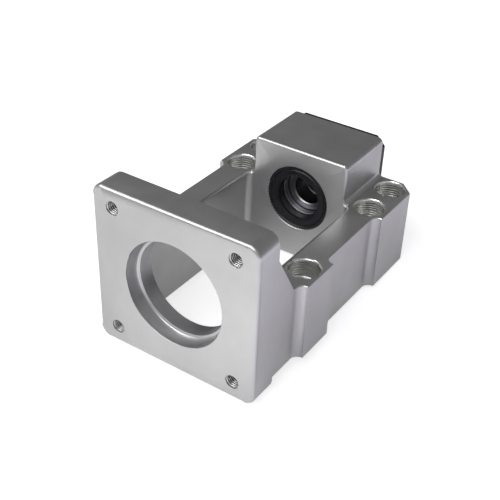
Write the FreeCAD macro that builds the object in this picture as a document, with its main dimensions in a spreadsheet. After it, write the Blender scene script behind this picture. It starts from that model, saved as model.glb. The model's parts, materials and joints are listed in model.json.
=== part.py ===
import FreeCAD, Part
import math
import os
import Sketcher
from FreeCAD import Vector

# Ball screw end support: a one-piece bracket that carries a pair of bearings for the end of a
# ball screw at its rear, and a motor on the plate at its front.
# The screw axis is the Y axis. The motor seats against the plate at Y = 0, the bracket runs
# back along +Y, +Z is up, and the mounting face looks down, one axis height below the axis.

# Driving sizes in millimetres, and one count.
SIZES = {
    # Bracket as a whole
    "overall_length": 102.0,        # motor face to the rear face
    "axis_height": 25.0,            # mounting face up to the screw axis
    "base_width": 70.0,             # across the bolt bosses
    "recess_depth": 3.0,            # the walls between the bosses, and the round ends there
    "wall_height": 29.5,            # mounting face up to the top of the side walls
    "wall_thickness": 10.25,        # side walls, between the recess and the coupling bay
    "bay_corner_radius": 2.5,
    "rear_corner_chamfer": 5.0,
    "edge_break": 0.3,              # small bevel on the outer edges
    # Motor plate
    "plate_width": 64.0,
    "plate_height": 61.0,
    "plate_thickness": 11.0,
    "plate_corner_radius": 4.5,
    "plate_bevel": 0.8,
    "gusset_rise": 16.0,            # height of the slanted gussets above the walls
    "gusset_run": 9.6,              # their length behind the plate
    "motor_pitch": 47.14,           # square pattern of the motor screws
    "motor_tap_dia": 4.2,
    "motor_tap_mouth": 0.5,
    "register_dia": 38.1,           # seat of the motor's centring boss
    "register_depth": 5.0,
    "coupling_bore_dia": 35.0,
    "bore_mouth": 0.25,
    # Mounting bolts
    "front_bolt_edge": 6.5,         # side of the boss to the bolt's centre
    "rear_bolt_edge": 7.25,
    "front_bolt_y": 32.5,
    "front_boss_length": 16.0,
    "rear_bolt_pitch": 16.0,
    "rear_bolt_margin": 7.0,        # rear face to the last pair of bolts
    "bolt_hole_dia": 6.6,
    "counterbore_dia": 10.5,
    "counterbore_depth": 6.5,
    "counterbore_mouth": 0.7,
    # Bearing block
    "block_depth": 27.5,
    "block_setback": 15.5,          # side of the bosses to the side of the block
    "block_rise": 20.0,             # screw axis up to the top of the block
    "block_corner_radius": 2.0,
    "block_foot_radius": 2.0,
    "block_bevel": 0.8,
    "seal_pocket_depth": 5.5,
    "seal_pocket_mouth": 0.5,
    "shoulder_bore_dia": 17.5,
    "shoulder_width": 3.0,
    "seat_mouth": 0.4,
    # Bearings
    "bearing_bore": 12.0,
    "bearing_dia": 28.0,
    "bearing_width": 8.0,
    "ball_dia": 4.76,
    "ball_circle_dia": 20.0,
    "ball_count": 9,
    "inner_land_dia": 16.8,
    "outer_land_dia": 23.2,
    "outer_relief_dia": 24.4,       # opened side of an angular contact outer ring
    "race_radius": 2.45,
    "ball_gap": 0.02,
    "ring_corner": 0.4,
    "inner_ring_gap": 0.05,         # preload gap between the two inner rings
    "cage_inner_dia": 18.0,
    "cage_outer_dia": 22.2,
    "cage_width": 6.6,
    "cage_pocket_dia": 5.0,
    # Shaft seals
    "seal_dia": 25.0,
    "seal_width": 4.5,
    "seal_setback": 0.3,            # seal face below the face of its pocket
    "seal_chamfer": 0.3,
    "seal_face_dia": 18.8,
    "seal_face_step": 0.6,
    "dust_lip_dia": 17.2,
    "dust_lip_at": 0.8,
    "main_lip_dia": 16.6,
    "main_lip_at": 3.5,
    "lip_valley_dia": 18.6,
    "lip_valley_at": 2.0,
    "lip_root_dia": 20.8,
    "seal_web": 1.2,                # thickness of the face web and of the outer shell
    "lip_nose_dia": 19.0,
    "lip_nose_at": 4.2,
    "spring_groove_radius": 0.7,
    "spring_groove_rim": 0.25,      # the groove's centre lies this far beyond its rims
    "spring_groove_dia": 20.0,      # circle of the groove's centre
    "spring_at": 3.25,
    "spring_wire_dia": 1.2,
    "spring_gap": 0.02,
    # Rear cover and its screws
    "cover_thickness": 3.0,
    "cover_setback": 0.3,           # side of the block to the side of the cover
    "cover_height": 38.0,
    "cover_corner": 3.4,
    "cover_edge_bevel": 0.3,
    "spigot_gap": 0.02,
    "screw_edge": 5.2,              # side of the cover to its screws' centres
    "screw_spacing_z": 29.0,
    "screw_dia": 3.0,
    "screw_length": 10.0,           # under the flat of the head to the tip
    "screw_clearance_dia": 3.4,     # holes in the cover
    "screw_hole_depth": 9.0,
    "screw_head_dia": 5.6,
    "screw_tip": 0.4,
    "screw_socket": 2.0,            # across the flats of the hexagon
    "screw_socket_depth": 1.2,
    "thread_gap": 0.02,
}

# Places that several pieces share, as formulas of the sizes
BASE_Z = "(-Sizes.axis_height)"
WALL_TOP = "(Sizes.wall_height - Sizes.axis_height)"
BLOCK_FRONT = "(Sizes.overall_length - Sizes.block_depth)"
WALL_SIDE = "(Sizes.base_width / 2 - Sizes.recess_depth)"
BAY_SIDE = f"({WALL_SIDE} - Sizes.wall_thickness)"
SEAT_FRONT = f"({BLOCK_FRONT} + Sizes.seal_pocket_depth + Sizes.shoulder_width)"
PAIR_MIDDLE = f"({SEAT_FRONT} + Sizes.bearing_width)"
SEAT_REAR = f"({SEAT_FRONT} + 2 * Sizes.bearing_width)"
COVER_REAR = "(Sizes.overall_length + Sizes.cover_thickness)"
BLOCK_SIDE = "(Sizes.base_width / 2 - Sizes.block_setback)"
COVER_SIDE = f"({BLOCK_SIDE} - Sizes.cover_setback)"
SCREW_ACROSS = f"({COVER_SIDE} - Sizes.screw_edge)"
BALL_CIRCLE = "(Sizes.ball_circle_dia / 2)"
# Front end of what is let into the plate, past the bevel on the plate's rear edges
PLATE_REAR = "(Sizes.plate_thickness - Sizes.edge_break)"

TOLERANCE = 1e-4
parts_folder = "parts"
doc = FreeCAD.newDocument("ball_screw_end_support")


def make_sheet():
    """Spreadsheet of the driving sizes: a name and a plain number in each row."""
    sheet = doc.addObject("Spreadsheet::Sheet", "Sizes")
    for row, (name, number) in enumerate(SIZES.items(), start=1):
        sheet.set(f"A{row}", name)
        sheet.set(f"B{row}", str(number))
        sheet.setAlias(f"B{row}", name)
    doc.recompute()
    return sheet


sheet = make_sheet()


def value(formula):
    """Number that a formula of the sizes gives."""
    return float(sheet.evalExpression(formula))


def new_body(label):
    body = doc.addObject("PartDesign::Body", label)
    body.Label = label
    return body


def new_sketch(body, name, plane, offset=None):
    """Sketch on one of the body's own origin planes, moved along its normal by a formula."""
    sketch = body.newObject("Sketcher::SketchObject", name)
    support = [item for item in body.Origin.OriginFeatures if item.Role == plane][0]
    sketch.AttachmentSupport = [(support, "")]
    sketch.MapMode = "FlatFace"
    if offset is not None:
        sketch.setExpression(".AttachmentOffset.Base.z", offset)
    return sketch


def bind(sketch, constraint, formula):
    """Adds a constraint whose size follows a formula."""
    index = sketch.addConstraint(constraint)
    sketch.setExpression(f"Constraints[{index}]", formula)


def arc_between(start, end, radius, turn):
    """Arc shorter than half a circle; turn is 1 to the left and -1 to the right."""
    chord = end - start
    height = math.sqrt(radius ** 2 - (chord.Length / 2) ** 2)
    left = Vector(-chord.y, chord.x, 0).normalize()
    centre = (start + end) / 2 + left * (height * turn)
    first, last = (start, end) if turn > 0 else (end, start)
    from_angle = math.atan2(first.y - centre.y, first.x - centre.x)
    to_angle = math.atan2(last.y - centre.y, last.x - centre.x)
    circle = Part.Circle(centre, Vector(0, 0, 1), radius)
    return Part.ArcOfCircle(circle, from_angle, to_angle)


def draw_outline(sketch, corners):
    """Closed outline. A corner is (across, up), or (across, up, radius, turn) where an arc starts."""
    places = [Vector(value(corner[0]), value(corner[1]), 0) for corner in corners]
    starts = []
    ends = []
    for index, corner in enumerate(corners):
        start, end = places[index], places[(index + 1) % len(corners)]
        if len(corner) == 2:
            edge = sketch.addGeometry(Part.LineSegment(start, end), False)
            starts.append((edge, 1))
            ends.append((edge, 2))
            continue
        radius, turn = corner[2:]
        edge = sketch.addGeometry(arc_between(start, end, value(radius), turn), False)
        starts.append((edge, 1 if turn > 0 else 2))
        ends.append((edge, 2 if turn > 0 else 1))
        bind(sketch, Sketcher.Constraint("Radius", edge, value(radius)), radius)
    for index, corner in enumerate(corners):
        following = starts[(index + 1) % len(corners)]
        sketch.addConstraint(Sketcher.Constraint("Coincident", *ends[index], *following))
        place = places[index]
        bind(sketch, Sketcher.Constraint("DistanceX", *starts[index], place.x), corner[0])
        bind(sketch, Sketcher.Constraint("DistanceY", *starts[index], place.y), corner[1])


def draw_circles(sketch, diameter, centres):
    for across, up in centres:
        centre = Vector(value(across), value(up), 0)
        circle = Part.Circle(centre, Vector(0, 0, 1), value(diameter) / 2)
        edge = sketch.addGeometry(circle, False)
        bind(sketch, Sketcher.Constraint("Diameter", edge, value(diameter)), diameter)
        bind(sketch, Sketcher.Constraint("DistanceX", edge, 3, centre.x), across)
        bind(sketch, Sketcher.Constraint("DistanceY", edge, 3, centre.y), up)


def rounded_rectangle(half_width, bottom, top, radius):
    """Corners of an upright rectangle about the vertical axis, with equal corner arcs."""
    left, right = f"-({half_width})", half_width
    return [
        (f"{left} + {radius}", bottom),
        (f"{right} - {radius}", bottom, radius, 1),
        (right, f"{bottom} + {radius}"),
        (right, f"{top} - {radius}", radius, 1),
        (f"{right} - {radius}", top),
        (f"{left} + {radius}", top, radius, 1),
        (left, f"{top} - {radius}"),
        (left, f"{bottom} + {radius}", radius, 1),
    ]


def pad(body, name, sketch, length, reverse=False, middle=False):
    feature = body.newObject("PartDesign::Pad", name)
    feature.Profile = sketch
    feature.setExpression("Length", length)
    feature.Reversed = reverse
    feature.Midplane = middle
    doc.recompute()
    return feature


def pocket(body, name, sketch, length, reverse=False):
    """Pocket that must take metal away."""
    before = body.Shape.Volume
    feature = body.newObject("PartDesign::Pocket", name)
    feature.Profile = sketch
    feature.setExpression("Length", length)
    feature.Reversed = reverse
    doc.recompute()
    if body.Shape.Volume >= before:
        raise RuntimeError(f"{name} removes nothing")
    return feature


def turned(body, name, corners, cut=False):
    """Revolves a half section, drawn as (along the axis, radius), about the screw axis."""
    before = body.Shape.Volume if cut else 0
    sketch = new_sketch(body, f"{name}_section", "YZ_Plane")
    draw_outline(sketch, corners)
    kind = "PartDesign::Groove" if cut else "PartDesign::Revolution"
    feature = body.newObject(kind, name)
    feature.Profile = sketch
    feature.ReferenceAxis = (sketch, ["H_Axis"])
    feature.Angle = 360
    doc.recompute()
    if cut and body.Shape.Volume >= before:
        raise RuntimeError(f"{name} removes nothing")
    return feature


def edges_where(body, test):
    """Names of the body's edges that pass the test."""
    edges = enumerate(body.Shape.Edges, start=1)
    return [f"Edge{number}" for number, edge in edges if test(edge)]


def bevel(body, name, size, test):
    """Chamfer on the edges that pass the test."""
    names = edges_where(body, test)
    if not names:
        raise RuntimeError(f"{name} finds no edge")
    base = body.Tip
    feature = body.newObject("PartDesign::Chamfer", name)
    feature.Base = (base, names)
    feature.setExpression("Size", size)
    doc.recompute()
    return feature


def flat_at(edge, direction, place):
    """True if the edge lies in the plane at a place along X, Y or Z."""
    box = edge.BoundBox
    low, high = getattr(box, f"{direction}Min"), getattr(box, f"{direction}Max")
    return abs(low - place) < TOLERANCE and abs(high - place) < TOLERANCE


def is_circle(edge, diameter):
    curve = edge.Curve
    return isinstance(curve, Part.Circle) and abs(2 * curve.Radius - diameter) < TOLERANCE


def mirrored_back(run):
    """The same corners on the other side of the vertical axis, walked the other way."""
    corners = []
    for index in reversed(range(len(run))):
        arc = run[index - 1][2:] if index > 0 else ()
        corners.append((f"-({run[index][0]})", run[index][1], *arc))
    return corners


# The bracket

def bevelled_pad(body, name, plane, outline, ends, bevels):
    """Pad with bevelled end faces: a straight middle between two ruled lofts.

    outline gives the corners for an inset, ends are the places of the two end faces, and
    bevels the sizes of their bevels.
    """
    start, end = ends
    first, last = bevels
    backwards = plane == "XZ_Plane"

    def section(part, place, inset="0"):
        offset = f"-({place})" if backwards else place
        sketch = new_sketch(body, f"{name}_{part}", plane, offset)
        draw_outline(sketch, outline(inset))
        return sketch

    middle = section("outline", f"{start} + {first}")
    pad(body, name, middle, f"{end} - {start} - {first} - {last}", reverse=backwards)
    for part, face, edge, inset in (
            ("start", start, f"{start} + {first}", first),
            ("end", end, f"{end} - {last}", last)):
        loft = body.newObject("PartDesign::AdditiveLoft", f"{name}_{part}_bevel")
        loft.Profile = section(f"{part}_face", face, inset)
        loft.Sections = [section(f"{part}_edge", edge)]
        loft.Ruled = True
        doc.recompute()


def plate_outline(inset):
    """Motor plate seen along the screw axis."""
    half_height = f"(Sizes.plate_height / 2 - {inset})"
    return rounded_rectangle(f"(Sizes.plate_width / 2 - {inset})", f"-{half_height}", half_height,
                             f"(Sizes.plate_corner_radius - {inset})")


def base_outline(inset):
    """Footprint of the bracket behind the plate, with round-ended recesses beside the bosses."""
    outer = f"(Sizes.base_width / 2 - {inset})"
    inner = f"({WALL_SIDE} - {inset})"
    rear = f"(Sizes.overall_length - {inset})"
    boss_front = "(Sizes.front_bolt_y - Sizes.front_boss_length / 2)"
    boss_rear = "(Sizes.front_bolt_y + Sizes.front_boss_length / 2)"
    round_end = f"(Sizes.recess_depth + {inset})"
    # The arcs keep their centres, so an inset outline meets the bosses' sides this far from them.
    reach = f"sqrt({round_end}^2 - {inset}^2)"
    corner = f"(Sizes.rear_corner_chamfer + {inset} * (sqrt(2) - 1))"
    right = [
        (inner, PLATE_REAR),
        (inner, f"{boss_front} - Sizes.recess_depth", round_end, -1),
        (outer, f"{boss_front} - Sizes.recess_depth + {reach}"),
        (outer, f"{boss_rear} + Sizes.recess_depth - {reach}", round_end, -1),
        (inner, f"{boss_rear} + Sizes.recess_depth"),
        (inner, f"{BLOCK_FRONT} - Sizes.recess_depth", round_end, -1),
        (outer, f"{BLOCK_FRONT} - Sizes.recess_depth + {reach}"),
        (outer, f"Sizes.overall_length - {corner}"),
        (f"Sizes.base_width / 2 - {corner}", rear),
    ]
    return right + mirrored_back(right)


def block_outline(inset):
    """Bearing block seen along the screw axis, with round shoulders and fillets at its foot."""
    side = BLOCK_SIDE
    top = "Sizes.block_rise"
    foot = "Sizes.block_foot_radius"
    shoulder = "Sizes.block_corner_radius"
    low = f"{WALL_TOP} - {inset}"
    right = [
        (f"{side} + {foot}", low, f"{foot} + {inset}", -1),
        (f"{side} - {inset}", f"{WALL_TOP} + {foot}"),
        (f"{side} - {inset}", f"{top} - {shoulder}", f"{shoulder} - {inset}", 1),
        (f"{side} - {shoulder}", f"{top} - {inset}"),
    ]
    return right + mirrored_back(right)


def make_housing():
    """One-piece bracket: motor plate, two side walls with bolt bosses, and bearing block."""
    body = new_body("housing")
    broken = "Sizes.edge_break"
    bevelled_pad(body, "plate", "XZ_Plane", plate_outline,
                 ("0", "Sizes.plate_thickness"), ("Sizes.plate_bevel", broken))
    bevelled_pad(body, "base", "XY_Plane", base_outline, (BASE_Z, WALL_TOP), (broken, broken))

    # Slanted gussets from the walls up to the plate, let into both by the bevels there
    gusset = new_sketch(body, "gusset_profile", "YZ_Plane")
    slope = "(Sizes.gusset_rise / Sizes.gusset_run)"
    foot = f"{WALL_TOP} - {broken}"
    draw_outline(gusset, [
        (PLATE_REAR, foot),
        (f"Sizes.plate_thickness + Sizes.gusset_run + {broken} / {slope}", foot),
        (PLATE_REAR, f"{WALL_TOP} + Sizes.gusset_rise + {broken} * {slope}"),
    ])
    pad(body, "gussets", gusset, f"2 * {WALL_SIDE}", middle=True)

    bevelled_pad(body, "block", "XZ_Plane", block_outline,
                 (BLOCK_FRONT, "Sizes.overall_length"), ("Sizes.block_bevel", broken))

    # Coupling bay, open at the top and the bottom
    bay = new_sketch(body, "bay_outline", "XY_Plane", BASE_Z)
    draw_outline(bay, rounded_rectangle(
        BAY_SIDE, "Sizes.plate_thickness", BLOCK_FRONT, "Sizes.bay_corner_radius"))
    pocket(body, "bay", bay, "Sizes.plate_height", reverse=True)

    cut_bores(body)
    cut_screw_holes(body)
    return body


def cut_bores(body):
    """Motor register, coupling bore, seal pocket, shoulder and bearing seat, all on one axis."""
    register = "Sizes.register_dia / 2"
    coupling = "Sizes.coupling_bore_dia / 2"
    mouth = "Sizes.bore_mouth"
    turned(body, "motor_bore", [
        ("0", "0"),
        ("Sizes.plate_thickness", "0"),
        ("Sizes.plate_thickness", coupling),
        (f"Sizes.register_depth + {mouth}", coupling),
        ("Sizes.register_depth", f"{coupling} + {mouth}"),
        ("Sizes.register_depth", register),
        (mouth, register),
        ("0", f"{register} + {mouth}"),
    ], cut=True)
    seal = "Sizes.seal_dia / 2"
    seat = "Sizes.bearing_dia / 2"
    land = "Sizes.shoulder_bore_dia / 2"
    pocket_end = f"{BLOCK_FRONT} + Sizes.seal_pocket_depth"
    turned(body, "bearing_bore", [
        (BLOCK_FRONT, "0"),
        ("Sizes.overall_length", "0"),
        ("Sizes.overall_length", f"{seat} + Sizes.seat_mouth"),
        ("Sizes.overall_length - Sizes.seat_mouth", seat),
        (SEAT_FRONT, seat),
        (SEAT_FRONT, f"{land} + {mouth}"),
        (f"{SEAT_FRONT} - {mouth}", land),
        (f"{pocket_end} + {mouth}", land),
        (pocket_end, f"{land} + {mouth}"),
        (pocket_end, seal),
        (f"{BLOCK_FRONT} + Sizes.seal_pocket_mouth", seal),
        (BLOCK_FRONT, f"{seal} + Sizes.seal_pocket_mouth"),
    ], cut=True)


def cut_screw_holes(body):
    """Tapped motor holes, counterbored mounting holes and tapped holes for the rear cover."""
    half_pitch = "Sizes.motor_pitch / 2"
    motor = new_sketch(body, "motor_screw_places", "XZ_Plane")
    draw_circles(motor, "Sizes.motor_tap_dia", corner_places(half_pitch, half_pitch))
    pocket(body, "motor_screw_holes", motor, "Sizes.plate_thickness")
    bevel(body, "motor_hole_mouths", "Sizes.motor_tap_mouth", lambda edge: (
        flat_at(edge, "Y", 0) and is_circle(edge, value("Sizes.motor_tap_dia"))))

    last = "(Sizes.overall_length - Sizes.rear_bolt_margin)"
    rows = [
        ("Sizes.front_bolt_edge", "Sizes.front_bolt_y"),
        ("Sizes.rear_bolt_edge", f"{last} - Sizes.rear_bolt_pitch"),
        ("Sizes.rear_bolt_edge", last),
    ]
    places = [(f"{side}(Sizes.base_width / 2 - {edge})", row)
              for edge, row in rows for side in ("-", "")]
    through = new_sketch(body, "bolt_places", "XY_Plane", BASE_Z)
    draw_circles(through, "Sizes.bolt_hole_dia", places)
    pocket(body, "bolt_holes", through, "Sizes.wall_height", reverse=True)
    heads = new_sketch(body, "bolt_head_places", "XY_Plane", WALL_TOP)
    draw_circles(heads, "Sizes.counterbore_dia", places)
    pocket(body, "bolt_head_holes", heads, "Sizes.counterbore_depth")
    bevel(body, "bolt_head_mouths", "Sizes.counterbore_mouth", lambda edge: (
        flat_at(edge, "Z", value(WALL_TOP)) and is_circle(edge, value("Sizes.counterbore_dia"))))

    cover = new_sketch(body, "cover_screw_places", "XZ_Plane", "-Sizes.overall_length")
    corners = corner_places(SCREW_ACROSS, "Sizes.screw_spacing_z / 2")
    draw_circles(cover, "Sizes.screw_dia + 2 * Sizes.thread_gap", corners)
    pocket(body, "cover_screw_holes", cover, "Sizes.screw_hole_depth", reverse=True)


def corner_places(half_across, half_up):
    """Four places at the corners of a rectangle about the axis."""
    signs = [("-", "-"), ("", "-"), ("", ""), ("-", "")]
    return [(f"{across}{half_across}", f"{up}{half_up}") for across, up in signs]


# Bearings

def make_bearing(name, front, towards_rear):
    """Angular contact ball bearing: two rings, a cage and its balls.

    front is the place of its front face, and the open side of the outer ring looks to the rear
    on the front bearing and to the front on the rear one, so that the pair is face to face.
    """
    width = "Sizes.bearing_width"
    middle = f"({front} + {width} / 2)"
    corner = "Sizes.ring_corner"
    race = "Sizes.race_radius"
    # The groove's centre lies off the ball circle, so that the ball clears its bottom by a gap.
    shift = f"({race} - Sizes.ball_dia / 2 - Sizes.ball_gap)"

    def groove_half(land_radius, centre_radius):
        return f"sqrt({race}^2 - ({land_radius} - {centre_radius})^2)"

    outer = "Sizes.bearing_dia / 2"
    land = "(Sizes.outer_land_dia / 2)"
    relief = "(Sizes.outer_relief_dia / 2)"
    centre = f"({BALL_CIRCLE} - {shift})"
    front_land, rear_land = (land, relief) if towards_rear else (relief, land)
    front_face, rear_face = front, f"{front} + {width}"
    ring = new_body(f"{name}_outer_ring")
    turned(ring, f"{name}_outer_ring_turning", [
        (f"{front_face} + {corner}", outer),
        (front_face, f"{outer} - {corner}"),
        (front_face, front_land),
        (f"{middle} - {groove_half(front_land, centre)}", front_land, race, -1),
        (f"{middle} + {groove_half(rear_land, centre)}", rear_land),
        (rear_face, rear_land),
        (rear_face, f"{outer} - {corner}"),
        (f"{rear_face} - {corner}", outer),
    ])

    bore = "Sizes.bearing_bore / 2"
    land = "(Sizes.inner_land_dia / 2)"
    centre = f"({BALL_CIRCLE} + {shift})"
    half_gap = "Sizes.inner_ring_gap / 2"
    if towards_rear:
        rear_face = f"{rear_face} - {half_gap}"
    else:
        front_face = f"{front_face} + {half_gap}"
    ring = new_body(f"{name}_inner_ring")
    turned(ring, f"{name}_inner_ring_turning", [
        (f"{front_face} + {corner}", bore),
        (f"{rear_face} - {corner}", bore),
        (rear_face, f"{bore} + {corner}"),
        (rear_face, land),
        (f"{middle} + {groove_half(land, centre)}", land, race, -1),
        (f"{middle} - {groove_half(land, centre)}", land),
        (front_face, land),
        (front_face, f"{bore} + {corner}"),
    ])
    make_cage(name, middle)
    make_balls(name, middle)


def make_cage(name, middle):
    """Cage ring with one round window for each ball."""
    cage = new_body(f"{name}_cage")
    half = "Sizes.cage_width / 2"
    inside, outside = "Sizes.cage_inner_dia / 2", "Sizes.cage_outer_dia / 2"
    turned(cage, f"{name}_cage_turning", [
        (f"{middle} - {half}", inside),
        (f"{middle} + {half}", inside),
        (f"{middle} + {half}", outside),
        (f"{middle} - {half}", outside),
    ])
    window = new_sketch(cage, f"{name}_cage_window_place", "XY_Plane")
    draw_circles(window, "Sizes.cage_pocket_dia", [("0", middle)])
    first = pocket(cage, f"{name}_cage_window", window, "Sizes.cage_outer_dia", reverse=True)
    pattern = cage.newObject("PartDesign::PolarPattern", f"{name}_cage_windows")
    pattern.Originals = [first]
    pattern.Axis = ([item for item in cage.Origin.OriginFeatures if item.Role == "Y_Axis"][0], [""])
    pattern.Angle = 360
    pattern.setExpression("Occurrences", "Sizes.ball_count")
    cage.Tip = pattern
    doc.recompute()


def make_balls(name, middle):
    """Balls on the ball circle, one in each window of the cage, the first at the top."""
    count = round(value("Sizes.ball_count"))
    for number in range(count):
        ball = doc.addObject("Part::Sphere", f"{name}_ball_{number + 1}")
        ball.Label = f"{name}_ball_{number + 1}"
        ball.setExpression("Radius", "Sizes.ball_dia / 2")
        turn = f"({number} * 360 deg / Sizes.ball_count)"
        ball.setExpression(".Placement.Base.x", f"{BALL_CIRCLE} * sin({turn})")
        ball.setExpression(".Placement.Base.y", middle)
        ball.setExpression(".Placement.Base.z", f"{BALL_CIRCLE} * cos({turn})")


# Seals

def make_seal(name, face, inward):
    """Rubber shaft seal with a dust lip, a main lip and a groove for its garter spring.

    face is the place of its outer face, and inward is the sign of the way into the block.
    """
    def along(depth):
        return f"{face} + {inward} * ({depth})"

    turn = inward
    outer = "Sizes.seal_dia / 2"
    chamfer = "Sizes.seal_chamfer"
    web = "Sizes.seal_web"
    groove = "Sizes.spring_groove_radius"
    circle = "Sizes.spring_groove_dia / 2"
    rim = "Sizes.spring_groove_rim"
    chord = f"sqrt({groove}^2 - {rim}^2)"
    seal = new_body(name)
    turned(seal, f"{name}_moulding", [
        (along("0"), "Sizes.seal_face_dia / 2"),
        (along("0"), f"{outer} - {chamfer}"),
        (along(chamfer), outer),
        (along(f"Sizes.seal_width - {chamfer}"), outer),
        (along("Sizes.seal_width"), f"{outer} - {chamfer}"),
        (along("Sizes.seal_width"), f"{outer} - {web}"),
        (along(web), f"{outer} - {web}"),
        (along(web), "Sizes.lip_root_dia / 2"),
        (along(f"Sizes.spring_at - {chord}"), f"{circle} - {rim}", groove, turn),
        (along(f"Sizes.spring_at + {chord}"), f"{circle} - {rim}"),
        (along("Sizes.lip_nose_at"), "Sizes.lip_nose_dia / 2"),
        (along("Sizes.main_lip_at"), "Sizes.main_lip_dia / 2"),
        (along("Sizes.lip_valley_at"), "Sizes.lip_valley_dia / 2"),
        (along("Sizes.dust_lip_at"), "Sizes.dust_lip_dia / 2"),
        (along("Sizes.seal_face_step"), "Sizes.seal_face_dia / 2"),
    ])
    spring = doc.addObject("Part::Torus", f"{name}_spring")
    spring.Label = f"{name}_spring"
    wire = "Sizes.spring_wire_dia / 2"
    spring.setExpression("Radius1", f"{circle} - {groove} + {wire} + Sizes.spring_gap")
    spring.setExpression("Radius2", wire)
    spring.Placement.Rotation = FreeCAD.Rotation(Vector(1, 0, 0), 90)
    spring.setExpression(".Placement.Base.y", along("Sizes.spring_at"))


# Rear cover

def make_cover():
    """Plate with cut corners behind the block, whose spigot holds the bearings and a seal."""
    body = new_body("rear_cover")
    side = COVER_SIDE
    top = "(Sizes.cover_height / 2)"
    cut = "Sizes.cover_corner"
    right = [
        (f"{side} - {cut}", f"-{top}"),
        (side, f"-{top} + {cut}"),
        (side, f"{top} - {cut}"),
        (f"{side} - {cut}", top),
    ]
    plate = new_sketch(body, "cover_outline", "XZ_Plane", "-Sizes.overall_length")
    draw_outline(plate, right + mirrored_back(right))
    pad(body, "cover_plate", plate, "Sizes.cover_thickness", reverse=True)
    bevel(body, "cover_rear_bevel", "Sizes.cover_edge_bevel",
          lambda edge: flat_at(edge, "Y", value(COVER_REAR)))

    spigot = "(Sizes.bearing_dia / 2 - Sizes.spigot_gap)"
    corner = "Sizes.ring_corner"
    turned(body, "cover_spigot", [
        (SEAT_REAR, "Sizes.shoulder_bore_dia / 2"),
        ("Sizes.overall_length", "Sizes.shoulder_bore_dia / 2"),
        ("Sizes.overall_length", spigot),
        (f"{SEAT_REAR} + {corner}", spigot),
        (SEAT_REAR, f"{spigot} - {corner}"),
    ])
    seal = "Sizes.seal_dia / 2"
    mouth = "Sizes.seal_pocket_mouth"
    floor = f"({COVER_REAR} - Sizes.seal_setback - Sizes.seal_width)"
    land = "Sizes.shoulder_bore_dia / 2"
    turned(body, "cover_seal_pocket", [
        (COVER_REAR, "0"),
        (COVER_REAR, f"{seal} + {mouth}"),
        (f"{COVER_REAR} - {mouth}", seal),
        (floor, seal),
        (floor, land),
        (SEAT_REAR, land),
        (SEAT_REAR, "0"),
    ], cut=True)

    holes = new_sketch(body, "cover_hole_places", "XZ_Plane", f"-{COVER_REAR}")
    corners = corner_places(SCREW_ACROSS, "Sizes.screw_spacing_z / 2")
    hole = "Sizes.screw_clearance_dia"
    draw_circles(holes, hole, corners)
    pocket(body, "cover_holes", holes, "Sizes.cover_thickness", reverse=True)
    # The countersinks are cones, as wide as the screw head at the rear face.
    depth = f"(Sizes.screw_head_dia - {hole}) / 2 + Sizes.thread_gap"
    bevel(body, "cover_countersinks", depth, lambda edge: (
        flat_at(edge, "Y", value(COVER_REAR)) and is_circle(edge, value(hole))))
    return body


def make_cover_screws():
    """Countersunk screws with a hexagon socket, one at each corner of the cover."""
    places = corner_places(SCREW_ACROSS, "Sizes.screw_spacing_z / 2")
    for number, (across, up) in enumerate(places, start=1):
        screw = new_body(f"cover_screw_{number}")
        head = "Sizes.screw_head_dia / 2"
        shank = "Sizes.screw_dia / 2"
        rear = COVER_REAR
        tip = f"{rear} - Sizes.screw_length"
        turned(screw, f"cover_screw_{number}_turning", [
            (rear, "0"),
            (rear, head),
            (f"{rear} - ({head} - {shank})", shank),
            (f"{tip} + Sizes.screw_tip", shank),
            (tip, f"{shank} - Sizes.screw_tip"),
            (tip, "0"),
        ])
        socket = new_sketch(screw, f"cover_screw_{number}_socket", "XZ_Plane", f"-{rear}")
        corner = "(Sizes.screw_socket / 2 / cos(30 deg))"
        draw_outline(socket, [
            (f"{corner} * cos({60 * side} deg)", f"{corner} * sin({60 * side} deg)")
            for side in range(6)])
        pocket(screw, f"cover_screw_{number}_recess", socket, "Sizes.screw_socket_depth",
               reverse=True)
        screw.setExpression(".Placement.Base.x", across)
        screw.setExpression(".Placement.Base.z", up)


def check_and_export():
    """Stops if anything failed, then writes one file for each piece."""
    doc.recompute()
    for item in doc.Objects:
        if "Invalid" in item.State or "Error" in item.State:
            raise RuntimeError(f"{item.Name} failed: {item.State}")
    pieces = [item for item in doc.Objects if item.TypeId == "PartDesign::Body"]
    pieces += [item for item in doc.Objects if item.TypeId in ("Part::Sphere", "Part::Torus")]
    os.makedirs(parts_folder, exist_ok=True)
    for piece in pieces:
        shape = piece.Shape
        if shape.isNull() or not shape.isValid() or len(shape.Solids) != 1:
            raise RuntimeError(f"{piece.Label} is not one valid solid")
    for piece in pieces:
        piece.Shape.exportStep(f"{parts_folder}/{piece.Label}.step")
        print(f"{piece.Label}: {piece.Shape.Volume:.1f} mm3")


make_housing()
make_seal("front_seal", f"{BLOCK_FRONT} + Sizes.seal_setback", 1)
make_bearing("front_bearing", SEAT_FRONT, towards_rear=True)
make_bearing("rear_bearing", PAIR_MIDDLE, towards_rear=False)
make_cover()
make_seal("rear_seal", f"{COVER_REAR} - Sizes.seal_setback", -1)
make_cover_screws()
check_and_export()
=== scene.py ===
import json
import math

import bmesh
import bpy
from mathutils import Matrix, Vector

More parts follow.
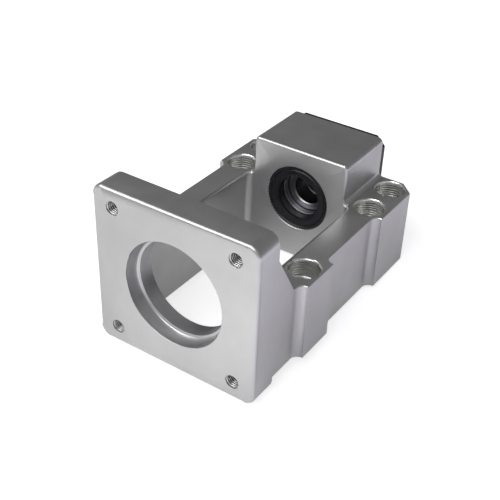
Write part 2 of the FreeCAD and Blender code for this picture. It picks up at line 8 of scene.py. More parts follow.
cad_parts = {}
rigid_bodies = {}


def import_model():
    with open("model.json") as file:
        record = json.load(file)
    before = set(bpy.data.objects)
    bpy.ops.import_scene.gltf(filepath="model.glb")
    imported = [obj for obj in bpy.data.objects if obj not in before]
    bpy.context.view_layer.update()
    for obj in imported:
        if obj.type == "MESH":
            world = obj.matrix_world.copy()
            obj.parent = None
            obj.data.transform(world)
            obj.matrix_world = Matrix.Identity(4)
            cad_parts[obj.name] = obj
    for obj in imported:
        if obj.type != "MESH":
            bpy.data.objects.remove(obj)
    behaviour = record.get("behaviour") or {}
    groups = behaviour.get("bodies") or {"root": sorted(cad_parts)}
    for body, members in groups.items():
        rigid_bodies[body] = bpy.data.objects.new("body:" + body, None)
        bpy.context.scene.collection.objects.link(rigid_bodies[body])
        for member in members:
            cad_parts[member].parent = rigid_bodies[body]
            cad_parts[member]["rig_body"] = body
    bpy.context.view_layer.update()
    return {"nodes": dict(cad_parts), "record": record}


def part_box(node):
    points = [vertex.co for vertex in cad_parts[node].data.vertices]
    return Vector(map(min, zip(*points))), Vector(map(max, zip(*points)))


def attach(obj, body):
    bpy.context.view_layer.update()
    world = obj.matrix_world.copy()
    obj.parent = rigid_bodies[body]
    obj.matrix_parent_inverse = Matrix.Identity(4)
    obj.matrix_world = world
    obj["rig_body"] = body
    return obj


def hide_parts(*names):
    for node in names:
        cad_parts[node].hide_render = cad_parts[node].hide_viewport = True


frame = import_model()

MM = 0.001

# Tolerances for finding corners and faces of the solids
NEAR = 0.01 * MM
WELD_DISTANCE = 1e-7
SMOOTH_ANGLE = math.radians(24)    # an edge that turns more stays sharp
FLAT_ANGLE = math.radians(0.3)     # an edge that turns less is dissolved
RIM_ANGLE = math.radians(60)       # a rim between two main faces turns more

# Parts of a face's normal along an axis
LYING = 0.1                        # below this, the face lies along the axis
SLOPING = 0.5                      # between this and the next, it is a hole's bevelled mouth
FACING = 0.9                       # above this, the face looks along the axis

# Bracket, as the record and the solids have it
record = frame["record"]
slot_of = {entry["node"]: entry["material_slot"] for entry in record["subparts"]}
mounts = {mount["name"]: mount for mount in record["mounts"]}
HOUSING_LOW, HOUSING_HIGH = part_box("housing")
BASE_Z = mounts["base_face"]["pos_m"][2]
WALL_TOP = BASE_Z + 29.5 * MM
MOTOR_PITCH = mounts["motor_bolts"]["dims"]["spacing_x_mm"] * MM
MOTOR_TAP_RADIUS = mounts["motor_bolts"]["dims"]["hole_r_mm"] * MM
REGISTER_RADIUS = mounts["motor_register"]["dims"]["r_mm"] * MM
SEAL_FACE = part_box("front_seal")[0].y
SEAT_RADIUS = 14 * MM
SHOULDER_RADIUS = 8.75 * MM
BEARING_BORE_RADIUS = 6 * MM
COUNTERBORE_RADIUS = 5.25 * MM
COUNTERBORE_MOUTH = 0.7 * MM       # bevel round its top

# Fronts of the plate and of the bearing block
PLATE_THICKNESS = 11 * MM
BEHIND_PLATE = PLATE_THICKNESS + 1 * MM
PLATE_HALF_WIDTH = 32 * MM
PLATE_CORNER = 4.5 * MM
BLOCK_FRONT = HOUSING_HIGH.y - 27.5 * MM
BLOCK_HALF_WIDTH = 19.5 * MM
BLOCK_TOP = 20 * MM
BLOCK_CORNER = 2 * MM
FRONT_BEVEL = 0.8 * MM             # in the solids
WIDE_BEVEL = 1.2 * MM              # as it looks

# Coupling bay between them
BAY_SIDE = 21.75 * MM
BAY_CORNER = 2.5 * MM
BAY_EDGE_ROUND = 1.0 * MM
BAY_EDGE_STEPS = 3

# How far past its own radius the finish of a bore reaches
BORE_MARGIN = 0.3 * MM
SEAT_MARGIN = 0.5 * MM
HOLE_MARGIN = 0.05 * MM

# Threads of the motor holes
THREAD_PITCH = 0.8 * MM
THREAD_ROOT_RADIUS = 2.5 * MM
THREAD_START = 0.4 * MM            # from both faces of the plate
THREAD_FLANK = 0.47                # half of a ridge's width, as a share of the pitch
THREAD_STEPS = 40                  # in a turn
TAP_TOLERANCE = 0.02 * MM
TAP_MOUTH_LIMIT = 1 * MM           # corners of the bevelled mouth lie in front of this
TAP_MOUTH_DEPTH = 0.1 * MM         # of what is left of that bevel round the thread's root
TAP_END_LIMIT = PLATE_THICKNESS + 0.1 * MM

# Seals: section in millimetres, as depths behind the face and radii
SEAL_STEPS = 144
SPRING_DEPTH = 3.25                # of the middle of the garter spring's wire
SPRING_CIRCLE = 10.0               # that the wire's middle runs on
SPRING_GROOVE = 0.7                # radius of the groove's section
SEAL_BACK = [(0.3, 12.46), (4.2, 12.46), (4.5, 12.2), (4.5, 11.3), (1.2, 11.3), (1.2, 10.4)]
SEAL_LIPS = [(4.2, 9.5), (3.72, 8.6), (3.6, 8.38), (3.5, 8.3), (3.38, 8.34), (2.2, 9.2),
             (2.0, 9.28), (1.8, 9.24), (0.95, 8.7), (0.8, 8.6), (0.66, 8.64)]
SEAL_FRONT = [(0.52, 8.95), (0.42, 9.02), (0.26, 9.06), (0.12, 9.16), (0.03, 9.32), (0, 9.5),
              (0, 11.2), (0.08, 11.3), (0.34, 11.5), (0.34, 11.7), (0.08, 11.88), (0, 11.98),
              (0.03, 12.2), (0.12, 12.38)]

# White paper floor; places on it are metres across (X) or along (Y) the screw
FLOOR_SIZE = 6.0
# The paper's violet on the right is painted cool shade, which the bracket's right faces mirror and
# its shadow shows
PAPER_LEFT = (0.74, 0.74, 0.74)
PAPER_RIGHT_COOL_SHADE = (0.72, 0.69, 0.78)
PAPER_COOLS = (0.02, 0.06)
SEEN_GLOW = 0.70                   # what the camera sees
# Painted reflection: glow seen only by glossy rays, strong where the paper is lit and least under
# and behind the bracket as painted shade
MIRRORED_GLOW = 0.62               # what the metal sees in front of the plate
MIRRORED_LEFT = 0.6                # share of it that is left on the left
MIRRORED_LEAST = 0.17              # what it sees under and behind the bracket
MIRRORED_RIGHT = 0.58              # what it sees to the right of the bracket
FRONT_FADES = (-0.03, 0.03)
LEFT_FADES = (-0.06, 0.0)
RIGHT_RISES = (0.07, 0.12)
RIGHT_FADES = (0.2, 0.3)

# Room round the bracket: strengths, and the directions between which they change
ROOM_FRONT = 0.40
ROOM_BACK = 0.184
ROOM_RIGHT = 0.04                  # added on the right
FRONT_TO_BACK = (-0.9, 0.8)
MIDDLE_TO_RIGHT = (0.1, 0.6)

# Softbox above the left front of the bracket
SOFTBOX_AIM = Vector((0, 50 * MM, 0))
SOFTBOX_DIRECTION = Vector((-0.22, -0.57, 0.79))
SOFTBOX_DISTANCE = 0.9
SOFTBOX_SIZE = (1.05, 0.5)
SOFTBOX_POWER = 6.2

# Camera of the photograph, which looks down from the right front
CAMERA_AZIMUTH = math.radians(32.77)
CAMERA_ELEVATION = math.radians(34.27)
CAMERA_ROLL = math.radians(2.38)
CAMERA_DISTANCE = 326.8 * MM
CAMERA_AIM = Vector((-0.53, 44.90, -7.10)) * MM
CAMERA_LENS = 66.58
CAMERA_REACH = (0.01, 20)          # nearest and farthest that it sees, in metres
SENSOR_WIDTH = 36

# Finishes of the bracket and of a bearing ring, in the order of their material slots
SATIN, BORED, TURNED, SHADED_TURNED, CUT = range(5)
GROUND, SHADED_BORE = range(2)


def pattern_places(name):
    """Centres of the holes of one of the record's bolt patterns, about the pattern's middle."""
    dims = mounts[name]["dims"]
    half_across = dims["spacing_x_mm"] / 2 * MM
    half_along = dims.get("spacing_y_mm", 0) / 2 * MM
    ends = (-1, 1) if half_along else (0,)
    return [(side * half_across, end * half_along) for side in (-1, 1) for end in ends]


# Centres of the counterbored holes, seen from above
BOLT_CENTRES = [Vector((across, mounts[name]["pos_m"][1] + along))
                for name in ("base_bolts_front", "base_bolts_rear")
                for across, along in pattern_places(name)]


# Node helpers

class NodeTree:
    """Node tree with short ways to add nodes and to join them.

    What goes into a socket is a number, a colour, a vector or another node's output socket.
    """

    def __init__(self, tree):
        self.nodes = tree.nodes
        self.links = tree.links

    def give(self, node, name, given):
        """Fills one of a node's inputs."""
        if isinstance(given, bpy.types.NodeSocket):
            self.links.new(given, node.inputs[name])
        else:
            node.inputs[name].default_value = given

    def add(self, kind, **inputs):
        """Node of a kind; the names of its inputs are written with _ for a space."""
        node = self.nodes.new(kind)
        for name, given in inputs.items():
            self.give(node, name.replace("_", " "), given)
        return node

    def combine(self, operation, first, second):
        """Result of a sum, product or other operation on two values."""
        node = self.nodes.new("ShaderNodeMath")
        node.operation = operation
        self.give(node, 0, first)
        self.give(node, 1, second)
        return node.outputs["Value"]

    def spread(self, value, low, high, between=(0.3, 0.7)):
        """Value turned into one that goes from low to high between two of its own values."""
        start, end = between
        return self.add("ShaderNodeMapRange", Value=value, From_Min=start, From_Max=end,
                        To_Min=low, To_Max=high).outputs["Result"]


class Shader(NodeTree):
    """Material with its nodes."""

    def __init__(self, name):
        self.material = bpy.data.materials.new(name)
        self.material.use_nodes = True
        super().__init__(self.material.node_tree)
        self.nodes.clear()
        self.output = self.nodes.new("ShaderNodeOutputMaterial")

    def finish(self, base_color, metallic, roughness, **sockets):
        """Material with its surface made from these sockets."""
        surface = self.add("ShaderNodeBsdfPrincipled", Base_Color=base_color,
                           Metallic=metallic, Roughness=roughness, **sockets)
        self.give(self.output, "Surface", surface.outputs["BSDF"])
        return self.material

    def place(self, scale=(1, 1, 1)):
        """Object coordinates, stretched by a scale."""
        coordinates = self.add("ShaderNodeTexCoord")
        return self.add("ShaderNodeMapping", Vector=coordinates.outputs["Object"],
                        Scale=scale).outputs["Vector"]

    def noise(self, scale, detail=2.0, stretch=(1, 1, 1)):
        """Clouds, marks or grain, about as many in a metre as the scale says."""
        return self.add("ShaderNodeTexNoise", Vector=self.place(stretch), Scale=scale,
                        Detail=detail).outputs["Fac"]

    def bands(self, scale, distortion):
        """Bands one above the other, about 3.2 times the scale of them in a metre."""
        wave = self.add("ShaderNodeTexWave", Vector=self.place(), Scale=scale,
                        Distortion=distortion)
        wave.wave_type = "BANDS"
        wave.bands_direction = "Z"
        return wave.outputs["Fac"]

    def rings(self, scale):
        """Rings round the screw axis, about 3.2 times the scale of them in a metre."""
        wave = self.add("ShaderNodeTexWave", Vector=self.place(), Scale=scale)
        wave.wave_type = "RINGS"
        wave.rings_direction = "Y"
        return wave.outputs["Fac"]

    def tint(self, value, dark, light, between=(0.3, 0.7)):
        """Colour that goes from dark to light between two values."""
        ramp = self.add("ShaderNodeValToRGB", Fac=value)
        for stop, position, color in zip(ramp.color_ramp.elements, between, (dark, light)):
            stop.position = position
            stop.color = (*color, 1)
        return ramp.outputs["Color"]

    def bump(self, value, height, **under):
        """Bump of a height in metres, over another Normal if one is given."""
        return self.add("ShaderNodeBump", Distance=height, Height=value,
                        **under).outputs["Normal"]


# Finishes

def satin_aluminium():
    """Blasted and anodised aluminium: even, softly clouded, with a fine grain and dulled edges."""
    shader = Shader("satin_aluminium")
    clouds = shader.noise(45, detail=4)
    grain = shader.noise(5200)
    color = shader.tint(clouds, (0.52, 0.52, 0.525), (0.58, 0.58, 0.585))
    rough = shader.spread(shader.noise(160, detail=3), 0.34, 0.42)
    rounded = shader.add("ShaderNodeBevel", Radius=0.15 * MM).outputs["Normal"]
    return shader.finish(color, 1.0, rough,
                         Normal=shader.bump(grain, 0.003 * MM, Normal=rounded))


def bored_aluminium():
    """Bolt holes, brighter than the outside, with the rings that the cutter leaves."""
    shader = Shader("bored_aluminium")
    rings = shader.bands(331, distortion=0.8)
    clouds = shader.noise(300, detail=3, stretch=(1, 1, 4))
    color = shader.tint(clouds, (0.52, 0.52, 0.50), (0.66, 0.66, 0.65))
    rough = shader.spread(clouds, 0.26, 0.38)
    return shader.finish(color, 0.96, rough, Normal=shader.bump(rings, 0.09 * MM))


def cut_aluminium():
    """Mouths of the bolt holes, freshly cut and bright."""
    shader = Shader("cut_aluminium")
    marks = shader.noise(500, detail=3, stretch=(1, 1, 4))
    color = shader.tint(marks, (0.82, 0.82, 0.82), (0.92, 0.92, 0.92))
    rough = shader.spread(marks, 0.24, 0.32)
    return shader.finish(color, 1.0, rough, Normal=shader.bump(marks, 0.002 * MM))


def tapped_aluminium():
    """Flanks of the motor holes' threads, cut clean."""
    shader = Shader("tapped_aluminium")
    marks = shader.noise(900, detail=3)
    color = shader.tint(marks, (0.62, 0.62, 0.62), (0.74, 0.74, 0.74))
    rough = shader.spread(marks, 0.24, 0.34)
    return shader.finish(color, 1.0, rough, Normal=shader.bump(marks, 0.002 * MM))


def turned_aluminium():
    """Bores on the screw axis, turned smooth, with a few long clouds."""
    shader = Shader("turned_aluminium")
    clouds = shader.noise(70, detail=3, stretch=(1, 2.5, 1))
    lines = shader.noise(900, stretch=(0.2, 6, 0.2))
    color = shader.tint(clouds, (0.50, 0.50, 0.52), (0.64, 0.64, 0.65))
    rough = shader.spread(clouds, 0.34, 0.42)
    return shader.finish(color, 1.0, rough, Normal=shader.bump(lines, 0.0005 * MM))


def shaded_turned_aluminium():
    """Shoulder behind the seal and bevel round its pocket, turned, and painted darker as the shade
    in the recess.
    """
    shader = Shader("shaded_turned_aluminium")
    lines = shader.noise(900, stretch=(0.2, 3, 0.2))
    color = shader.tint(lines, (0.26, 0.26, 0.28), (0.40, 0.40, 0.42))
    rough = shader.spread(lines, 0.30, 0.42)
    return shader.finish(color, 1.0, rough, Normal=shader.bump(lines, 0.001 * MM))


def ground_steel():
    """Faces and grooves of the bearing rings, ground."""
    shader = Shader("ground_steel")
    lines = shader.noise(900, detail=3, stretch=(1, 8, 1))
    color = shader.tint(lines, (0.26, 0.26, 0.28), (0.36, 0.36, 0.38))
    rough = shader.spread(lines, 0.30, 0.42)
    return shader.finish(color, 1.0, rough, Normal=shader.bump(lines, 0.001 * MM))


def shaded_bore_metal():
    """Bores of the bearings' inner rings, painted near black as the shade deep inside the
    bearings.
    """
    shader = Shader("shaded_bore_metal")
    film = shader.noise(420, detail=3)
    color = shader.tint(film, (0.016, 0.016, 0.018), (0.030, 0.030, 0.034))
    rough = shader.spread(film, 0.26, 0.40)
    return shader.finish(color, 0.9, rough, Normal=shader.bump(film, 0.006 * MM))


def polished_steel():
    """Balls of the bearings, bright, with the faintest marks."""
    shader = Shader("polished_steel")
    marks = shader.noise(700, detail=4)
    color = shader.tint(marks, (0.60, 0.60, 0.61), (0.68, 0.68, 0.69))
    return shader.finish(color, 1.0, shader.spread(marks, 0.05, 0.10))


def spring_wire():
    """Garter springs of the seals, with the turns of their wire."""
    shader = Shader("spring_wire")
    coils = shader.rings(2400)
    # The wire is painted darker between its turns, painted shade in the creases of the coil
    color = shader.tint(coils, (0.30, 0.30, 0.30), (0.52, 0.52, 0.52), between=(0.1, 0.9))
    return shader.finish(color, 1.0, 0.32, Normal=shader.bump(coils, 0.05 * MM))


def seal_rubber():
    """Moulded black nitrile rubber with a faint bloom."""
    shader = Shader("seal_rubber")
    bloom = shader.noise(260, detail=4)
    grain = shader.noise(4200)
    color = shader.tint(bloom, (0.008, 0.008, 0.010), (0.014, 0.013, 0.017))
    rough = shader.spread(bloom, 0.26, 0.38)
    return shader.finish(color, 0.0, rough, Normal=shader.bump(grain, 0.002 * MM),
                         Specular_IOR_Level=0.32)


def cage_polymer():
    """Cages of the bearings, dark moulded polymer."""
    shader = Shader("cage_polymer")
    flow = shader.noise(500, detail=3)
    grain = shader.noise(3000)
    color = shader.tint(flow, (0.045, 0.045, 0.045), (0.07, 0.07, 0.068))
    rough = shader.spread(flow, 0.42, 0.55)
    return shader.finish(color, 0.0, rough, Normal=shader.bump(grain, 0.004 * MM))


def black_cover():
    """Black oxide on a machined steel plate."""
    shader = Shader("black_cover")
    clouds = shader.noise(120, detail=4)
    lines = shader.noise(900, stretch=(1, 1, 12))
    color = shader.tint(clouds, (0.015, 0.015, 0.017), (0.028, 0.028, 0.031))
    rough = shader.spread(clouds, 0.34, 0.46)
    return shader.finish(color, 0.6, rough, Normal=shader.bump(lines, 0.003 * MM))


def black_screw():
    """Black oxide on the cover's screws, a little worn."""
    shader = Shader("black_screw")
    wear = shader.noise(1400, detail=4)
    color = shader.tint(wear, (0.02, 0.02, 0.021), (0.06, 0.058, 0.055), between=(0.45, 0.8))
    return shader.finish(color, 0.8, shader.spread(wear, 0.28, 0.42))


# Stand-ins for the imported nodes

def welded_mesh(node):
    """The node's triangles with shared corners joined, so that they can shade smoothly."""
    mesh = frame["nodes"][node].data.copy()
    shape = bmesh.new()
    shape.from_mesh(mesh)
    bmesh.ops.remove_doubles(shape, verts=shape.verts, dist=WELD_DISTANCE)
    shape.to_mesh(mesh)
    shape.free()
    return mesh


def plain_copy(source, name):
    """Object whose mesh is the source's with its modifiers applied; the source goes."""
    depsgraph = bpy.context.evaluated_depsgraph_get()
    mesh = bpy.data.meshes.new_from_object(source.evaluated_get(depsgraph), depsgraph=depsgraph)
    mesh.name = name
    piece = bpy.data.objects.new(name, mesh)
    bpy.context.scene.collection.objects.link(piece)
    bpy.data.objects.remove(source)
    return piece


def smooth_stand_in(node, materials, choose=None, mesh=None):
    """Smooth-shaded piece for a node; choose gives the index of a face's material."""
    mesh = mesh or welded_mesh(node)
    mesh.materials.clear()
    for material in materials:
        mesh.materials.append(material)
    for face in mesh.polygons:
        face.use_smooth = True
        face.material_index = choose(face) if choose else 0
    mesh.set_sharp_from_angle(angle=SMOOTH_ANGLE)
    draft = bpy.data.objects.new(f"{node}_draft", mesh)
    bpy.context.scene.collection.objects.link(draft)
    weighted = draft.modifiers.new("weighted_normals", "WEIGHTED_NORMAL")
    weighted.keep_sharp = True
    weighted.weight = 100
    piece = plain_copy(draft, f"{node}_finish")
    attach(piece, frame["nodes"][node]["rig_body"])
    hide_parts(node)


# Housing

def housing_finish(face):
    """Finish of a face of the bracket: its bores and bolt holes differ from the outside."""
    centre, normal = face.center, face.normal
    radius = math.hypot(centre.x, centre.z)
    behind_seal_face = centre.y > SEAL_FACE
    # The shoulder behind the seal takes the darker turned finish, painted shade
    if behind_seal_face and radius < SHOULDER_RADIUS + BORE_MARGIN:
        return SHADED_TURNED
    if centre.y < PLATE_THICKNESS and radius < REGISTER_RADIUS + BORE_MARGIN:
        return TURNED
    if centre.y > BEHIND_PLATE and radius < SEAT_RADIUS + SEAT_MARGIN:
        # The bevel round the seal's pocket takes it too, painted shade that dulls its highlight
        if not behind_seal_face and LYING < abs(normal.y) < FACING:
            return SHADED_TURNED
        return TURNED if behind_seal_face or abs(normal.y) < FACING else SATIN
    if centre.z < WALL_TOP - NEAR:
        from_bolt = min((centre.xy - place).length for place in BOLT_CENTRES)
        if from_bolt < COUNTERBORE_RADIUS + HOLE_MARGIN:
            return BORED
        if from_bolt < COUNTERBORE_RADIUS + COUNTERBORE_MOUTH and SLOPING < normal.z < FACING:
            return CUT
    return SATIN


def across_screw(place):
    """A place as it is seen along the screw axis."""
    return Vector((place.x, place.z))


def push_to_radius(vertex, middle, radius):
    """Moves a corner straight away from a middle, seen along the screw axis, to a radius."""
    offset = across_screw(vertex.co) - middle
    vertex.co.x, vertex.co.z = middle + offset * (radius / offset.length)


def open_motor_holes(mesh):
    """Widens the motor holes to the thread's root, so that the threads fit in them."""
    centres = [Vector(place) for place in pattern_places("motor_bolts")]
    for vertex in mesh.vertices:
        if vertex.co.y > TAP_END_LIMIT:
            continue
        across = across_screw(vertex.co)
        for centre in centres:
            if abs((across - centre).length - MOTOR_TAP_RADIUS) < TAP_TOLERANCE:
                push_to_radius(vertex, centre, THREAD_ROOT_RADIUS)
                if vertex.co.y < TAP_MOUTH_LIMIT:
                    vertex.co.y = TAP_MOUTH_DEPTH


def clamp(value, low, high):
    """Value kept between a low and a high one."""
    return min(max(value, low), high)


def widen_front_bevels(mesh):
    """Makes the bevels round the fronts of the plate and of the block as wide as they look."""
    for vertex in mesh.vertices:
        if vertex.co.y < PLATE_THICKNESS / 2:
            front, half_width, corner = 0, PLATE_HALF_WIDTH, PLATE_CORNER
            low, high = HOUSING_LOW.z, HOUSING_HIGH.z
        elif vertex.co.z > WALL_TOP + BLOCK_CORNER + NEAR:
            front, half_width, corner = BLOCK_FRONT, BLOCK_HALF_WIDTH, BLOCK_CORNER
            low, high = WALL_TOP, BLOCK_TOP
        else:
            continue
        middle = Vector((clamp(vertex.co.x, corner - half_width, half_width - corner),
                         clamp(vertex.co.z, low + corner, high - corner)))
        from_middle = (across_screw(vertex.co) - middle).length
        depth = vertex.co.y - front
        if abs(depth) < NEAR and abs(from_middle - (corner - FRONT_BEVEL)) < NEAR:
            push_to_radius(vertex, middle, corner - WIDE_BEVEL)
        elif abs(depth - FRONT_BEVEL) < NEAR and abs(from_middle - corner) < NEAR:
            vertex.co.y = front + WIDE_BEVEL


def on_bay_rim(place):
    """Whether a corner lies on the bay's top rim, along a side or round a rear corner."""
    return (abs(place.z - WALL_TOP) < NEAR and place.y < BLOCK_FRONT - NEAR
            and BAY_SIDE - BAY_CORNER - NEAR < abs(place.x) < BAY_SIDE + NEAR)


def round_bay_edges(mesh):
    """Rounds the top edges along the coupling bay's sides and round its rear corners."""
    shape = bmesh.new()
    shape.from_mesh(mesh)
    bmesh.ops.dissolve_limit(shape, angle_limit=FLAT_ANGLE, verts=shape.verts, edges=shape.edges)
    rim = [edge for edge in shape.edges
           if all(on_bay_rim(vertex.co) for vertex in edge.verts)
           and edge.calc_face_angle(0) > RIM_ANGLE]
    bmesh.ops.bevel(shape, geom=rim, offset=BAY_EDGE_ROUND, offset_type="OFFSET",
                    segments=BAY_EDGE_STEPS, profile=0.5, affect="EDGES", clamp_overlap=False)
    bmesh.ops.triangulate(shape, faces=shape.faces)
    shape.to_mesh(mesh)
    shape.free()


def make_housing():
    """Bracket with room for its threads, wider front bevels and a rounded bay rim."""
    mesh = welded_mesh("housing")
    open_motor_holes(mesh)
    widen_front_bevels(mesh)
    round_bay_edges(mesh)
    finishes = [satin_aluminium(), bored_aluminium(), turned_aluminium(), shaded_turned_aluminium(),
                cut_aluminium()]
    smooth_stand_in("housing", finishes, housing_finish, mesh)


# Threads of the motor holes

def thread_nodes():
    """Geometry nodes: a helical ridge at each corner of a square, along the screw axis."""
    group = bpy.data.node_groups.new("motor_threads", "GeometryNodeTree")
    face = group.interface
    face.new_socket("Geometry", in_out="OUTPUT", socket_type="NodeSocketGeometry")
    for name in ("Hole Pitch", "Thread Pitch", "Crest Radius", "Root Radius", "Start", "Length"):
        face.new_socket(name, in_out="INPUT", socket_type="NodeSocketFloat")
    face.new_socket("Finish", in_out="INPUT", socket_type="NodeSocketMaterial")
    tree = NodeTree(group)
    given = tree.add("NodeGroupInput").outputs

    turns = tree.combine("DIVIDE", given["Length"], given["Thread Pitch"])
    helix = tree.add("GeometryNodeCurveSpiral", Resolution=THREAD_STEPS, Rotations=turns,
                     Start_Radius=given["Root Radius"], End_Radius=given["Root Radius"],
                     Height=given["Length"])
    upright = tree.add("GeometryNodeSetCurveNormal", Curve=helix.outputs["Curve"])
    upright.mode = "Z_UP"

    depth = tree.combine("SUBTRACT", given["Root Radius"], given["Crest Radius"])
    flank = tree.combine("MULTIPLY", given["Thread Pitch"], THREAD_FLANK)
    ridge = tree.add("GeometryNodeCurvePrimitiveQuadrilateral")
    ridge.mode = "KITE"
    tree.give(ridge, "Width", tree.combine("MULTIPLY", depth, 2))
    tree.give(ridge, "Bottom Height", flank)
    tree.give(ridge, "Top Height", flank)
    sweep = tree.add("GeometryNodeCurveToMesh", Curve=upright.outputs["Curve"],
                     Profile_Curve=ridge.outputs["Curve"], Fill_Caps=True)

    start = tree.add("ShaderNodeCombineXYZ", Y=given["Start"])
    lying = tree.add("GeometryNodeTransform", Geometry=sweep.outputs["Mesh"],
                     Translation=start.outputs["Vector"], Rotation=(math.radians(-90), 0, 0))
    corners = tree.add("GeometryNodeMeshGrid", Size_X=given["Hole Pitch"],
                       Size_Y=given["Hole Pitch"], Vertices_X=2, Vertices_Y=2)
    facing = tree.add("GeometryNodeTransform", Geometry=corners.outputs["Mesh"],
                      Rotation=(math.radians(90), 0, 0))
    copies = tree.add("GeometryNodeInstanceOnPoints", Points=facing.outputs["Geometry"],
                      Instance=lying.outputs["Geometry"])
    real = tree.add("GeometryNodeRealizeInstances", Geometry=copies.outputs["Instances"])
    finished = tree.add("GeometryNodeSetMaterial", Geometry=real.outputs["Geometry"],
                        Material=given["Finish"])
    tree.add("NodeGroupOutput", Geometry=finished.outputs["Geometry"])
    return group


def make_threads():
    """Threads of the four motor holes, as one piece on the bracket."""
    group = thread_nodes()
    draft = bpy.data.objects.new("motor_threads_draft", bpy.data.meshes.new("motor_threads_draft"))
    bpy.context.scene.collection.objects.link(draft)
    modifier = draft.modifiers.new("threads", "NODES")
    modifier.node_group = group
    values = {"Hole Pitch": MOTOR_PITCH, "Thread Pitch": THREAD_PITCH,
              "Crest Radius": MOTOR_TAP_RADIUS, "Root Radius": THREAD_ROOT_RADIUS,
              "Start": THREAD_START, "Length": PLATE_THICKNESS - 2 * THREAD_START,
              "Finish": tapped_aluminium()}
    for item in group.interface.items_tree:
        if item.item_type == "SOCKET" and item.in_out == "INPUT":
            modifier[item.identifier] = values[item.name]
    threads = plain_copy(draft, "motor_threads")
    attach(threads, frame["nodes"]["housing"]["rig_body"])


# Seals, bearings and cover

def seal_section():
    """Section of a seal's moulding, all round it."""
    turns = [math.radians(15 * step) for step in range(-4, 5)]
    spring_groove = [(SPRING_DEPTH + SPRING_GROOVE * math.sin(turn),
                      SPRING_CIRCLE - SPRING_GROOVE * math.cos(turn)) for turn in turns]
    return [*SEAL_BACK, *spring_groove, *SEAL_LIPS, *SEAL_FRONT]


def seal_mesh(node):
    """Seal turned from its section; its face looks away from the bearings."""
    low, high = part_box(node)
    face, inward = (low.y, 1) if node.startswith("front") else (high.y, -1)
    section = seal_section()
    count = len(section)
    places = []
    quads = []
    for step in range(SEAL_STEPS):
        turn = 2 * math.pi * step / SEAL_STEPS
        here, there = step * count, (step + 1) % SEAL_STEPS * count
        for corner, (depth, radius) in enumerate(section):
            following = (corner + 1) % count
            places.append((radius * MM * math.sin(turn), face + inward * depth * MM,
                           radius * MM * math.cos(turn)))
            quads.append((here + corner, here + following, there + following, there + corner))
    mesh = bpy.data.meshes.new(f"{node}_moulding")
    mesh.from_pydata(places, [], quads)
    shape = bmesh.new()
    shape.from_mesh(mesh)
    bmesh.ops.recalc_face_normals(shape, faces=shape.faces)
    shape.to_mesh(mesh)
    shape.free()
    return mesh


def ring_finish(face):
    """Finish of a face of a bearing's ring: ground outside, painted shade in the bore."""
    radius = math.hypot(face.center.x, face.center.z)
    return SHADED_BORE if radius < BEARING_BORE_RADIUS + HOLE_MARGIN else GROUND


def make_inner_pieces():
    """Seals, bearings, cover and screws, each finished by its slot in the record."""
    finishes = {"seal_rubber": [seal_rubber()], "bearing_steel": [ground_steel(), shaded_bore_metal()],
                "ball_steel": [polished_steel()], "spring_steel": [spring_wire()],
                "cage_polymer": [cage_polymer()], "black_cover": [black_cover()],
                "black_screw": [black_screw()]}
    for node, slot in slot_of.items():
        if slot in finishes:
            smooth_stand_in(node, finishes[slot],
                            choose=ring_finish if slot == "bearing_steel" else None,
                            mesh=seal_mesh(node) if slot == "seal_rubber" else None)


# Studio

def resting_slope():
    """Foot of the plate, and how steeply the floor rises from it to the base's rear edge."""
    foot = Vector((0, PLATE_THICKNESS, HOUSING_LOW.z))
    heel = Vector((0, HOUSING_HIGH.y, BASE_Z))
    return foot, math.atan2(heel.z - foot.z, heel.y - foot.y)


def floor_paper():
    """White paper, painted cooler on the right as cool shade, which glows evenly for the camera.

    In the metal it glows most in front of the plate and to the right of the bracket, a painted
    reflection of lit paper, and least under and behind it, painted shade.
    """
    shader = Shader("studio_floor")
    place = shader.add("ShaderNodeSeparateXYZ", Vector=shader.place()).outputs
    color = shader.tint(place["X"], PAPER_LEFT, PAPER_RIGHT_COOL_SHADE, between=PAPER_COOLS)
    paper = shader.add("ShaderNodeBsdfDiffuse", Color=color)
    # Painted reflection: the glow that the metal sees, lessened under and behind the bracket as
    # painted shade
    in_front = shader.spread(place["Y"], 1.0, 0.0, between=FRONT_FADES)
    to_left = shader.spread(place["X"], MIRRORED_LEFT, 1.0, between=LEFT_FADES)
    near_right = shader.spread(place["X"], MIRRORED_LEAST, MIRRORED_RIGHT, between=RIGHT_RISES)
    far_right = shader.spread(place["X"], MIRRORED_RIGHT, 0.0, between=RIGHT_FADES)
    beside = shader.combine("MINIMUM", near_right, far_right)
    before = shader.combine("MULTIPLY", in_front, to_left)
    before = shader.combine("MULTIPLY", before, MIRRORED_GLOW)
    mirrored = shader.combine("MAXIMUM", before, beside)
    ray = shader.add("ShaderNodeLightPath").outputs
    mirrored = shader.combine("MULTIPLY", mirrored, ray["Is Glossy Ray"])
    seen = shader.combine("MULTIPLY", ray["Is Camera Ray"], SEEN_GLOW)
    glow = shader.add("ShaderNodeEmission", Strength=shader.combine("ADD", seen, mirrored))
    both = shader.add("ShaderNodeAddShader")
    shader.give(both, 0, paper.outputs["BSDF"])
    shader.give(both, 1, glow.outputs["Emission"])
    shader.give(shader.output, "Surface", both.outputs["Shader"])
    return shader.material


def make_floor():
    """Sheet of paper that the bracket rests on, with the slope that this gives it."""
    foot, slope = resting_slope()
    turn = Matrix.Rotation(slope, 4, "X")
    half = FLOOR_SIZE / 2
    sides = ((-half, -half), (half, -half), (half, half), (-half, half))
    corners = [foot + turn @ Vector((x, y, 0)) for x, y in sides]
    mesh = bpy.data.meshes.new("floor")
    mesh.from_pydata([tuple(corner) for corner in corners], [], [(0, 1, 2, 3)])
    mesh.materials.append(floor_paper())
    floor = bpy.data.objects.new("floor", mesh)
    bpy.context.scene.collection.objects.link(floor)


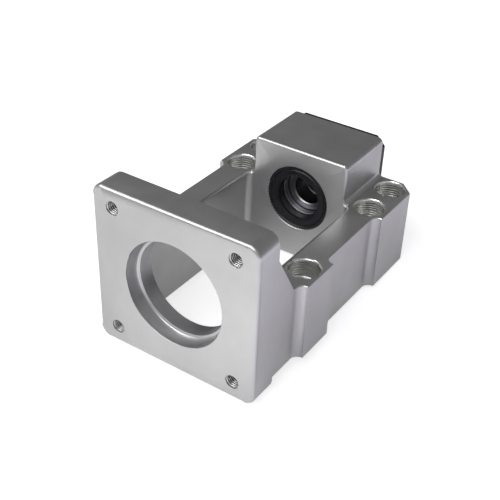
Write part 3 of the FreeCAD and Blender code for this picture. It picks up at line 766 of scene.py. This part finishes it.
def make_world():
    """Room that is dim behind the bracket and paler in front of it, and white for the camera."""
    world = bpy.data.worlds.new("studio")
    bpy.context.scene.world = world
    world.use_nodes = True
    tree = NodeTree(world.node_tree)
    tree.nodes.clear()
    coordinates = tree.add("ShaderNodeTexCoord")
    direction = tree.add("ShaderNodeSeparateXYZ", Vector=coordinates.outputs["Generated"]).outputs
    front = tree.spread(direction["Y"], ROOM_FRONT, ROOM_BACK, between=FRONT_TO_BACK)
    right = tree.spread(direction["X"], 0, ROOM_RIGHT, between=MIDDLE_TO_RIGHT)
    room = tree.combine("ADD", front, right)
    ray = tree.add("ShaderNodeLightPath").outputs
    strength = tree.combine("MAXIMUM", room, ray["Is Camera Ray"])
    background = tree.add("ShaderNodeBackground", Color=(1, 1, 1, 1), Strength=strength)
    tree.add("ShaderNodeOutputWorld", Surface=background.outputs["Background"])


def make_softbox():
    """The studio's one lamp."""
    light = bpy.data.lights.new("key_softbox", "AREA")
    light.shape = "RECTANGLE"
    light.size, light.size_y = SOFTBOX_SIZE
    light.energy = SOFTBOX_POWER
    softbox = bpy.data.objects.new("key_softbox", light)
    bpy.context.scene.collection.objects.link(softbox)
    away = SOFTBOX_DIRECTION.normalized()
    softbox.location = SOFTBOX_AIM + away * SOFTBOX_DISTANCE
    softbox.rotation_euler = away.to_track_quat("Z", "Y").to_euler()


def make_camera():
    """Camera that frames the bracket as the photograph does."""
    camera = bpy.data.cameras.new("camera")
    camera.lens = CAMERA_LENS
    camera.sensor_width = SENSOR_WIDTH
    camera.clip_start, camera.clip_end = CAMERA_REACH
    level = Vector((math.cos(CAMERA_AZIMUTH), math.sin(CAMERA_AZIMUTH), 0))
    back = Vector((
        math.sin(CAMERA_AZIMUTH) * math.cos(CAMERA_ELEVATION),
        -math.cos(CAMERA_AZIMUTH) * math.cos(CAMERA_ELEVATION),
        math.sin(CAMERA_ELEVATION)))
    upright = back.cross(level)
    right = level * math.cos(CAMERA_ROLL) + upright * math.sin(CAMERA_ROLL)
    up = upright * math.cos(CAMERA_ROLL) - level * math.sin(CAMERA_ROLL)
    turn = Matrix((right, up, back)).transposed().to_4x4()
    eye = bpy.data.objects.new("camera", camera)
    eye.matrix_world = Matrix.Translation(CAMERA_AIM + back * CAMERA_DISTANCE) @ turn
    bpy.context.scene.collection.objects.link(eye)
    bpy.context.scene.camera = eye


make_housing()
make_threads()
make_inner_pieces()
make_floor()
make_world()
make_softbox()
make_camera()
bpy.context.scene.view_settings.view_transform = "Standard"
